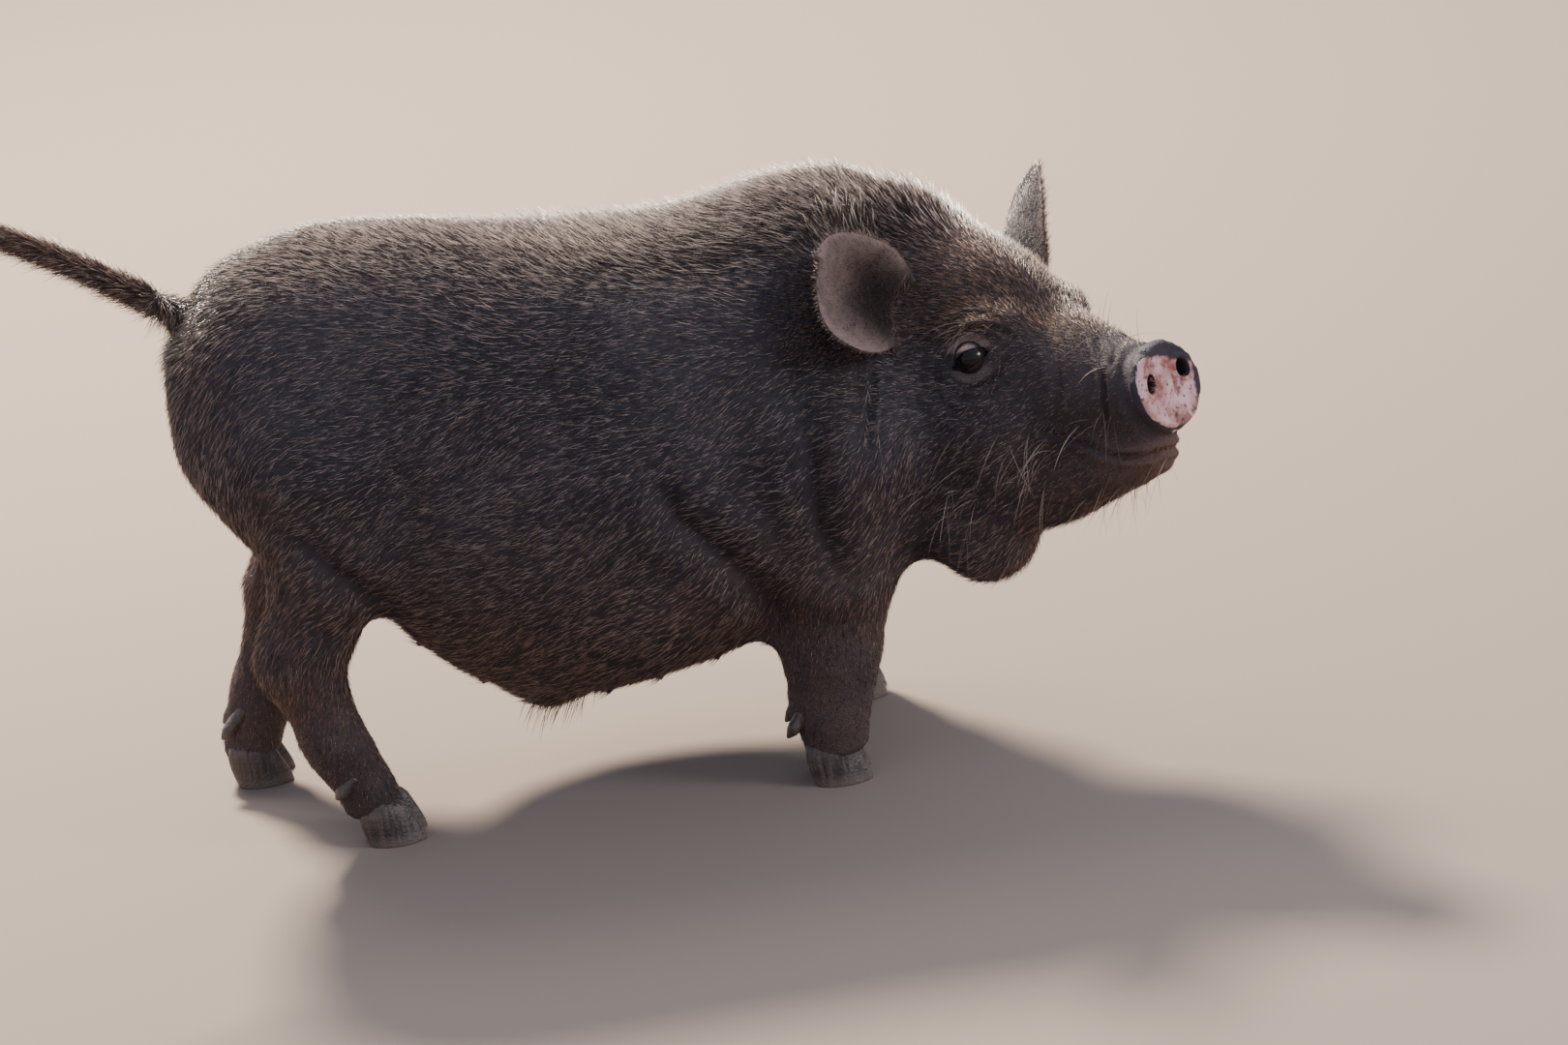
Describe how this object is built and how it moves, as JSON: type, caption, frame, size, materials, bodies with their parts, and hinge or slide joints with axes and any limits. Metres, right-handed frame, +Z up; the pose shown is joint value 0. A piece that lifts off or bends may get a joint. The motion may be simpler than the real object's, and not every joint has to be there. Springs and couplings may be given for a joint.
{
  "type": "pot-bellied pig",
  "caption": "Life-size model of a dark pot-bellied boar standing with its head raised and turned to its right, tail held out behind.",
  "frame": {"origin": "centre of the bounding box in plan, on the floor the soles stand on", "axes": "+X towards the head along the body, +Y to the pig's left, +Z up"},
  "size_m": [0.9542, 0.3752, 0.5307],
  "materials": {
    "hide": "satin",
    "ear": "matte",
    "snout": "damp satin",
    "eye": "wet gloss",
    "horn": "satin"
  },
  "bodies": {
    "root": {"trunk": "hide", "neck": "hide", "head": "hide", "jaw": "hide", "snout": "snout", "eye_right": "eye", "eye_left": "eye", "ear_right": "ear", "ear_left": "ear", "tail_root": "hide", "tail_middle": "hide", "tail_tip": "hide", "foreleg_right_upper": "hide", "foreleg_right_lower": "hide", "hoof_foreleg_right_inner": "horn", "dewclaw_foreleg_right_inner": "horn", "hoof_foreleg_right_outer": "horn", "dewclaw_foreleg_right_outer": "horn", "foreleg_left_upper": "hide", "foreleg_left_lower": "hide", "hoof_foreleg_left_inner": "horn", "dewclaw_foreleg_left_inner": "horn", "hoof_foreleg_left_outer": "horn", "dewclaw_foreleg_left_outer": "horn", "hindleg_right_upper": "hide", "hindleg_right_lower": "hide", "hoof_hindleg_right_inner": "horn", "dewclaw_hindleg_right_inner": "horn", "hoof_hindleg_right_outer": "horn", "dewclaw_hindleg_right_outer": "horn", "hindleg_left_upper": "hide", "hindleg_left_lower": "hide", "hoof_hindleg_left_inner": "horn", "dewclaw_hindleg_left_inner": "horn", "hoof_hindleg_left_outer": "horn", "dewclaw_hindleg_left_outer": "horn"}
  },
  "joints": []
}
